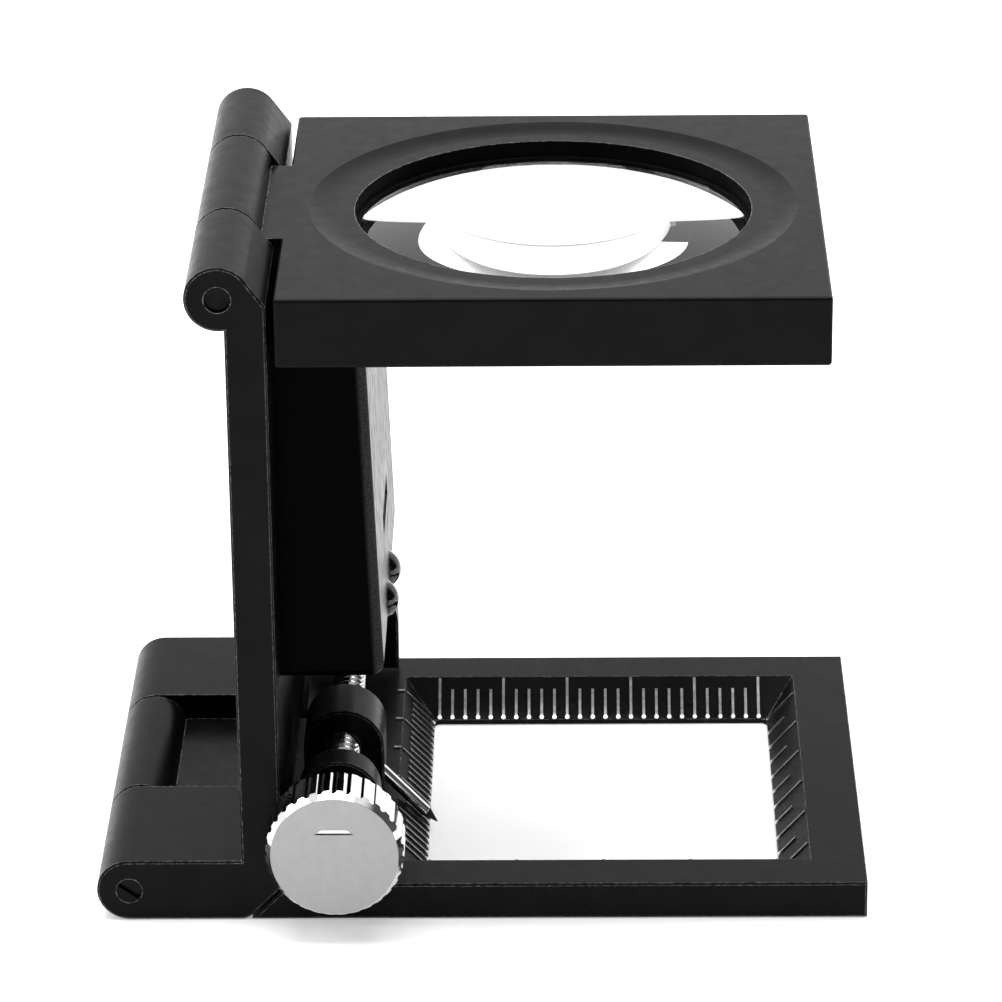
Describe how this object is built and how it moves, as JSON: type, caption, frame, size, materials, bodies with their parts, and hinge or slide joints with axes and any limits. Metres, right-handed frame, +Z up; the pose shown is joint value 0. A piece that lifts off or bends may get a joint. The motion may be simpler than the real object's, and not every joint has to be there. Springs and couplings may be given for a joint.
{
  "type": "folding stand magnifier",
  "caption": "Folding three-leaf linen tester: scaled base with a viewing opening, hinged upright with lamps and screw-driven pointer, hinged biconvex lens plate.",
  "frame": {"origin": "middle of the bounding box in X and Y, on the plane the base rests on", "axes": "+X from the fold hinges towards the base's free edge, +Y from the knob side to the rear, +Z up"},
  "size_m": [0.0558, 0.0426, 0.0505],
  "materials": {
    "black_paint": "satin black enamel on die-cast metal",
    "scale_line": "raised scale lines with the paint rubbed bright",
    "dark_steel": "blackened steel",
    "steel": "turned",
    "chrome_plate": "bright flutes, satin face",
    "black_plastic": "smooth moulded",
    "cell_steel": "nickel-plated can",
    "contact_metal": "spring strip",
    "board_green": "solder mask",
    "chip_black": "moulded",
    "lamp_clear": "clear moulded resin",
    "switch_metal": "pressed can",
    "switch_black": "moulded",
    "lens_glass": "polished",
    "ring_black": "blackened"
  },
  "bodies": {
    "base": {"base_frame": "black_paint", "scale_marks": "scale_line"},
    "upright": {"upright": "black_paint", "base_hinge_pin": "dark_steel", "lens_hinge_pin": "dark_steel", "battery_box": "black_plastic", "battery_cover": "black_plastic", "cover_screw": "steel", "box_screws": "dark_steel", "coin_cell_rear": "cell_steel", "coin_cell_front": "cell_steel", "negative_contact": "contact_metal", "positive_contact": "contact_metal", "circuit_board": "board_green", "resistor": "chip_black", "lamp_front": "lamp_clear", "lamp_back": "lamp_clear", "lamp_leads": "contact_metal", "switch_body": "switch_metal"},
    "lens_holder": {"lens_plate": "black_paint", "lens": "lens_glass", "lens_ring": "ring_black"},
    "adjuster": {"lead_screw": "steel", "knob": "chrome_plate", "thrust_washer": "steel", "retaining_clip": "dark_steel"},
    "pointer": {"pointer_carriage": "black_paint", "pointer_needle": "steel"},
    "switch": {"switch_button": "switch_black"}
  },
  "joints": [
    {"name": "base_fold", "type": "hinge", "parent": "base", "child": "upright", "pos_m": [-0.02558, 0, 0.00235], "axis": [0, -1, 0], "range_deg": [0, 270]},
    {"name": "lens_fold", "type": "hinge", "parent": "upright", "child": "lens_holder", "pos_m": [-0.01777, 0, 0.0482], "axis": [0, -1, 0], "range_deg": [0, 270]},
    {"name": "knob_turn", "type": "hinge", "parent": "upright", "child": "adjuster", "pos_m": [-0.01043, 0, 0.00715], "axis": [0, -1, 0], "range_deg": [-2784, 8112]},
    {"name": "pointer_slide", "type": "slide", "parent": "upright", "child": "pointer", "axis": [0, 1, 0], "range_m": [-0.0058, 0.0169]},
    {"name": "switch_slide", "type": "slide", "parent": "upright", "child": "switch", "axis": [0, 0, 1], "range_m": [0, 0.0024]}
  ],
  "couplings": [
    {"joint": "knob_turn", "follows": "pointer_slide", "rad_per_m": 8377.6}
  ]
}
